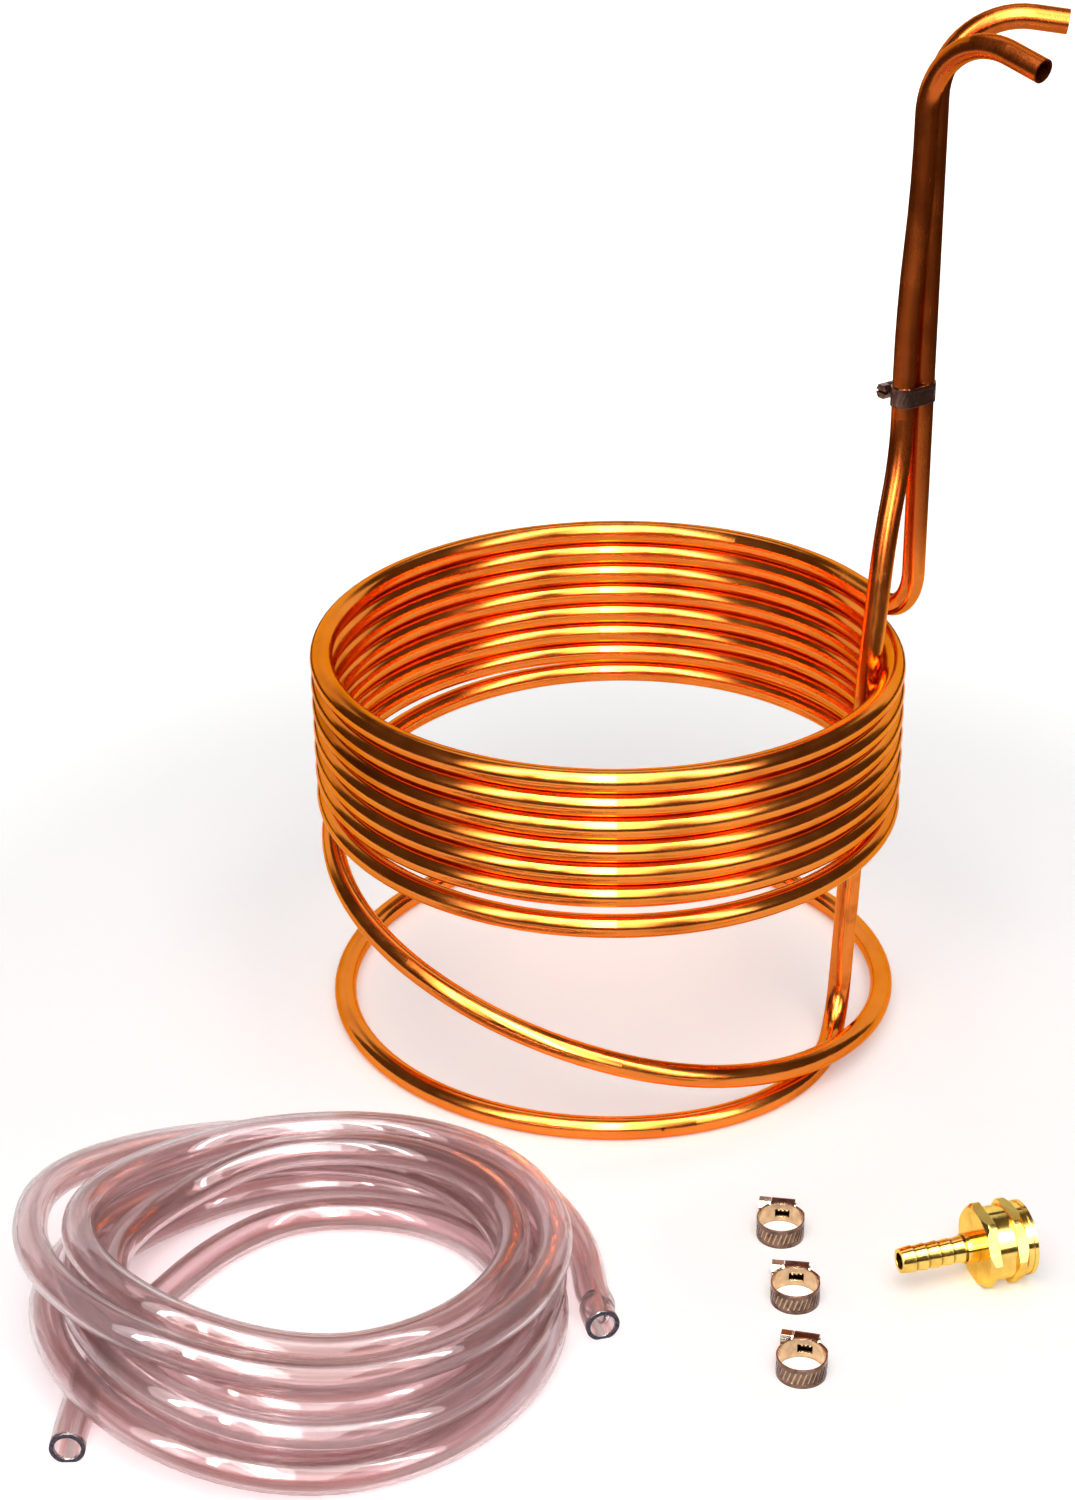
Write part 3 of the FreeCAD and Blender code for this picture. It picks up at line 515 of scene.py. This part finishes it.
def make_steel(name, bright, dark, hollow_depth, rough, ring_centre=None):
    """Stamped steel: rolling lines, smears, painted shade in the hollows and edges that catch the
    light.
    """
    material, tree, shader, _ = new_material(name)
    place = add(tree, "ShaderNodeTexCoord").outputs["Object"]
    lines = drawn_noise(tree, place, (300.0, 300.0, 6000.0), 2.0)
    smears = noise(tree, place, 260.0, 4.0, 0.6)
    colour = blend_colours(tree, stretch(tree, smears, 0.38, 0.68, 0.0, 1.0), bright, dark)
    if ring_centre:
        # A loose band is bare and tan inside, on its edges and in its grooves, and brown outside.
        flat = add(tree, "ShaderNodeVectorMath", operation="MULTIPLY")
        tree.links.new(measured_from(tree, place, (*ring_centre, 0)), flat.inputs[0])
        flat.inputs[1].default_value = (1, 1, 0)
        reach = add(tree, "ShaderNodeVectorMath", operation="LENGTH")
        tree.links.new(flat.outputs[0], reach.inputs[0])
        inside = stretch(tree, reach.outputs["Value"], BAND_BARE_REACH, BAND_BARE_REACH + 0.0001,
                         1.0, 0.0)
        bare = blend_colours(tree, smears, BAND_BARE, PLATE_DARK)
        colour = blend_colours(tree, inside, colour, bare)
    # Painted shade: hollows and slots are darkened the more closed in they are.
    hollow = add(tree, "ShaderNodeAmbientOcclusion", samples=8, inputs={"Distance": hollow_depth})
    hollow_painted_shade = stretch(tree, hollow.outputs["AO"], 0.35, 0.85, 0.9, 0.0)
    colour = blend_colours(tree, hollow_painted_shade, colour, dark)
    tree.links.new(colour, shader.inputs["Base Color"])
    shader.inputs["Metallic"].default_value = 1.0
    tree.links.new(calculate(tree, "ADD", stretch(tree, smears, 0.35, 0.7, rough, rough + 0.12),
                             stretch(tree, lines, 0.3, 0.7, -0.02, 0.05)), shader.inputs["Roughness"])
    round_edges(tree, bump(tree, shader, lines, 0.15, 0.0001), 0.00015)
    return material


plate_steel = make_steel("plate_steel", PLATE_STEEL, PLATE_DARK, 0.0015, 0.12)
screw_steel = make_steel("screw_steel", SCREW_STEEL, SCREW_DARK, 0.001, 0.10)
for clamp, ring_centre in CLAMP_CENTRES.items():
    band_steel = make_steel(f"band_steel_{clamp}", BAND_STEEL, BAND_DARK, 0.0010, 0.13, ring_centre)
    dress(f"{clamp}_band", band_steel)
    dress(f"{clamp}_housing", band_steel)
    dress(f"{clamp}_saddle", plate_steel)
    dress(f"{clamp}_screw", screw_steel if ring_centre else band_steel)


# Brass fitting
# A turned brass hose barb with a swivel nut for a garden tap, polished all over. The lathe has left
# fine rings round its axis, and the grooves, the threads and the foot of each barb get painted shade.

BRASS_BRIGHT = (0.93, 0.66, 0.17)
BRASS_DEEP = (0.74, 0.40, 0.065)
# The brown below is painted shade for the grooves, the threads and the foot of each barb.
BRASS_PAINTED_SHADE = (0.26, 0.11, 0.022)
BRASS_GLEAM = (1.0, 0.85, 0.5)
FITTING_PLACE = (0.1015, -0.2214, 0.01425)
FITTING_TURN = math.radians(16.0)
BARB_PITCH = 0.00495
BARB_COUNT = 5


def make_brass():
    """Polished brass: lathe rings, deeper clouds, and painted shade in the grooves and at the foot of
    each barb.
    """
    material, tree, shader, _ = new_material("polished_brass")
    place = add(tree, "ShaderNodeTexCoord").outputs["Object"]
    turned = add(tree, "ShaderNodeVectorRotate", rotation_type="Z_AXIS",
                 inputs={"Angle": -FITTING_TURN})
    tree.links.new(measured_from(tree, place, FITTING_PLACE), turned.inputs["Vector"])
    rings = drawn_noise(tree, turned.outputs["Vector"], (5200.0, 60.0, 60.0), 2.0)
    clouds = noise(tree, place, 120.0, 4.0, 0.6)
    colour = blend_colours(tree, stretch(tree, clouds, 0.4, 0.72, 0.0, 0.8), BRASS_BRIGHT, BRASS_DEEP)

    # Painted shade at the foot of each barb, where the step puts it in shade.
    along = add(tree, "ShaderNodeSeparateXYZ")
    tree.links.new(turned.outputs["Vector"], along.inputs[0])
    turns = calculate(tree, "DIVIDE", along.outputs[0], BARB_PITCH)
    past_step = calculate(tree, "FRACT", turns)
    barb_foot_shade = stretch(tree, past_step, 0.10, 0.26, 0.75, 0.0)
    on_stem = calculate(tree, "LESS_THAN", turns, BARB_COUNT + 0.2)
    behind_tip = calculate(tree, "GREATER_THAN", turns, 0.5)
    barb_foot_shade = calculate(tree, "MULTIPLY", barb_foot_shade, calculate(tree, "MULTIPLY", on_stem, behind_tip))
    colour = blend_colours(tree, barb_foot_shade, colour, BRASS_PAINTED_SHADE)
    # Painted shade in the grooves and threads, darker where they are more closed in.
    hollow = add(tree, "ShaderNodeAmbientOcclusion", samples=6, inputs={"Distance": 0.0015})
    colour = blend_colours(tree, stretch(tree, hollow.outputs["AO"], 0.2, 0.7, 0.6, 0.0),
                           colour, BRASS_PAINTED_SHADE)
    tree.links.new(colour, shader.inputs["Base Color"])
    shader.inputs["Metallic"].default_value = 1.0
    shader.inputs["Specular Tint"].default_value = (*BRASS_GLEAM, 1)
    rough = calculate(tree, "ADD", stretch(tree, clouds, 0.35, 0.7, 0.07, 0.17),
                      stretch(tree, rings, 0.3, 0.7, -0.01, 0.04))
    tree.links.new(rough, shader.inputs["Roughness"])
    round_edges(tree, bump(tree, shader, rings, 0.12, 0.0001), 0.0003)
    return material


brass = make_brass()
dress("barb_stem", brass)
dress("swivel_nut", brass)


# Hose washer
# The flat black rubber ring inside the nut, moulded, with a faint bloom on it.

RUBBER_BLACK = (0.018, 0.017, 0.016)
RUBBER_BLOOM = (0.06, 0.057, 0.053)


def make_rubber():
    """Moulded black rubber with a pale, uneven bloom."""
    material, tree, shader, _ = new_material("washer_rubber")
    place = add(tree, "ShaderNodeTexCoord").outputs["Object"]
    bloom = noise(tree, place, 400.0, 4.0)
    colour = blend_colours(tree, stretch(tree, bloom, 0.4, 0.75, 0.0, 1.0), RUBBER_BLACK, RUBBER_BLOOM)
    tree.links.new(colour, shader.inputs["Base Color"])
    tree.links.new(stretch(tree, bloom, 0.3, 0.7, 0.45, 0.7), shader.inputs["Roughness"])
    bump(tree, shader, bloom, 0.2, 0.0002)
    return material


dress("hose_washer", make_rubber())


# Studio A white table top in a dark room. Tall panels and dark cards that only reflections see stand
# for windows and walls, because polished metal looks like what is round it.

TABLE_REACH = 9.0
TABLE_WHITE = (0.91, 0.91, 0.91)
TABLE_GRAIN = (0.88, 0.88, 0.88)
NEAR_LIFT = 0.26
NEAR_REACH = 0.30
FAR_LIFT = 0.90
FAR_REACH = 0.85
CARD_TONE = (0.085, 0.065, 0.055)
CARD_RADIUS = 3.4
CARD_INNER = 0.62
CARD_ABOVE_TABLE = 0.002
CARD_TOP_HOLE = 0.01
CARD_COLUMNS = 72
CARD_ROWS = 12
BACKGROUND_OPENING = (118.0, 242.0, 34.0)
KIT_MIDDLE = Vector((0, -0.08, 0.12))
ROOM_LIGHT = 0.30


def shows_background(tree):
    """One for rays that show the background: straight from the camera, reflected or refracted."""
    ray = add(tree, "ShaderNodeLightPath")
    seen = calculate(tree, "ADD", ray.outputs["Is Camera Ray"], ray.outputs["Is Glossy Ray"])
    return calculate(tree, "ADD", seen, ray.outputs["Is Transmission Ray"], clamp=True)


def make_table_top():
    """White card that reads as the white background and still takes soft shadows."""
    material, tree, shader, output = new_material("white_card")
    place = add(tree, "ShaderNodeTexCoord").outputs["Object"]
    grain = noise(tree, place, 300.0, 2.0)
    tree.links.new(blend_colours(tree, grain, TABLE_GRAIN, TABLE_WHITE), shader.inputs["Base Color"])
    shader.inputs["Roughness"].default_value = 0.9
    shader.inputs["Specular IOR Level"].default_value = 0.0
    away = add(tree, "ShaderNodeVectorMath", operation="LENGTH")
    tree.links.new(place, away.inputs[0])
    lift = stretch(tree, away.outputs["Value"], NEAR_REACH, FAR_REACH, NEAR_LIFT, FAR_LIFT)
    glow = add(tree, "ShaderNodeEmission")
    tree.links.new(calculate(tree, "MULTIPLY", shows_background(tree), lift), glow.inputs["Strength"])
    both = add(tree, "ShaderNodeAddShader")
    tree.links.new(shader.outputs["BSDF"], both.inputs[0])
    tree.links.new(glow.outputs["Emission"], both.inputs[1])
    tree.links.new(both.outputs["Shader"], output.inputs["Surface"])
    return material


def make_stage_mesh(name, points, faces, material):
    """Mesh of the studio, which isn't part of the model."""
    mesh = bpy.data.meshes.new(name)
    mesh.from_pydata(points, [], faces)
    mesh.materials.append(material)
    item = bpy.data.objects.new(name, mesh)
    bpy.context.scene.collection.objects.link(item)
    return item


def make_card_tone():
    """Even, dark glow of a wall."""
    material, tree, shader, output = new_material("dark_card")
    tree.nodes.remove(shader)
    glow = add(tree, "ShaderNodeEmission", inputs={"Color": (*CARD_TONE, 1), "Strength": 1.0})
    tree.links.new(glow.outputs["Emission"], output.inputs["Surface"])
    return material


def make_dark_cards():
    """Ring on the floor outside the white table top, and a vault over it that is open behind."""
    columns = CARD_COLUMNS
    rows = [(CARD_INNER, CARD_ABOVE_TABLE), (CARD_RADIUS, CARD_ABOVE_TABLE)]
    for number in range(1, CARD_ROWS):
        climb = math.radians(90 * number / CARD_ROWS)
        rows.append((CARD_RADIUS * math.cos(climb), CARD_RADIUS * math.sin(climb)))
    rows.append((CARD_TOP_HOLE, CARD_RADIUS))
    points, faces = [], []
    for reach, height in rows:
        for column in range(columns):
            angle = math.radians(360 * column / columns - 90)
            points.append((reach * math.cos(angle), reach * math.sin(angle), height))
    first, last, top = BACKGROUND_OPENING
    for row in range(len(rows) - 1):
        climb = 90 * (row - 1) / CARD_ROWS
        for column in range(columns):
            around = 360 * (column + 0.5) / columns
            if row >= 1 and first < around < last and climb < top:
                continue
            beside = (column + 1) % columns
            faces.append((row * columns + column, row * columns + beside,
                          (row + 1) * columns + beside, (row + 1) * columns + column))
    cards = make_stage_mesh("dark_cards", points, faces, make_card_tone())
    cards.visible_camera = False
    cards.visible_diffuse = False
    cards.visible_shadow = False
    cards.visible_volume_scatter = False


def make_lamp(name, around, climb, distance, size, radiance):
    width, height = size
    data = bpy.data.lights.new(name, "AREA")
    data.shape = "RECTANGLE"
    data.size, data.size_y = width, height
    data.energy = radiance * math.pi * width * height
    lamp = bpy.data.objects.new(name, data)
    turn, lift = math.radians(around), math.radians(climb)
    back = Vector((math.sin(turn) * math.cos(lift), -math.cos(turn) * math.cos(lift), math.sin(lift)))
    lamp.location = KIT_MIDDLE + back * distance
    lamp.rotation_mode = "QUATERNION"
    lamp.rotation_quaternion = (-back).to_track_quat("-Z", "Y")
    bpy.context.scene.collection.objects.link(lamp)
    return lamp


table_corners = [(x * TABLE_REACH, y * TABLE_REACH, 0) for x, y in ((-1, -1), (1, -1), (1, 1), (-1, 1))]
make_stage_mesh("table_top", table_corners, [(0, 1, 2, 3)], make_table_top())
make_dark_cards()
make_lamp("table_lamp", 0, 62, 2.6, (2.6, 2.2), 2.6).visible_glossy = False
make_lamp("back_lamp", 180, 58, 2.4, (1.4, 0.8), 1.2)

# Panels that light nothing and are only mirrored: degrees round and up, distance, size and radiance.
for name, around, climb, distance, size, radiance in (
        ("front_panel", 0, 54, 2.4, (1.5, 4.4), 3.8),
        ("left_panel", -45, 46, 2.4, (1.0, 3.4), 3.0),
        ("right_panel", 44, 46, 2.4, (1.0, 3.4), 3.4),
        ("middle_glow", -3, 48, 2.3, (0.56, 3.0), 5.5),
        ("middle_strip", -3, 48, 2.2, (0.20, 2.4), 34.0),
        ("left_strip", -45, 46, 2.2, (0.18, 1.8), 22.0),
        ("near_left_strip", -24, 46, 2.2, (0.14, 1.8), 18.0),
        ("right_strip", 48, 46, 2.2, (0.18, 1.8), 22.0)):
    panel = make_lamp(name, around, climb, distance, size, radiance)
    panel.visible_diffuse = False

world = bpy.data.worlds.new("white_background")
bpy.context.scene.world = world
world.use_nodes = True
sky = world.node_tree
sky.nodes.clear()
sky_output = sky.nodes.new("ShaderNodeOutputWorld")
background = add(sky, "ShaderNodeBackground", inputs={"Color": (1, 1, 1, 1)})
room_or_background = stretch(sky, shows_background(sky), 0.0, 1.0, ROOM_LIGHT, 1.0)
sky.links.new(room_or_background, background.inputs["Strength"])
sky.links.new(background.outputs["Background"], sky_output.inputs["Surface"])

bpy.context.scene.view_settings.view_transform = "Standard"
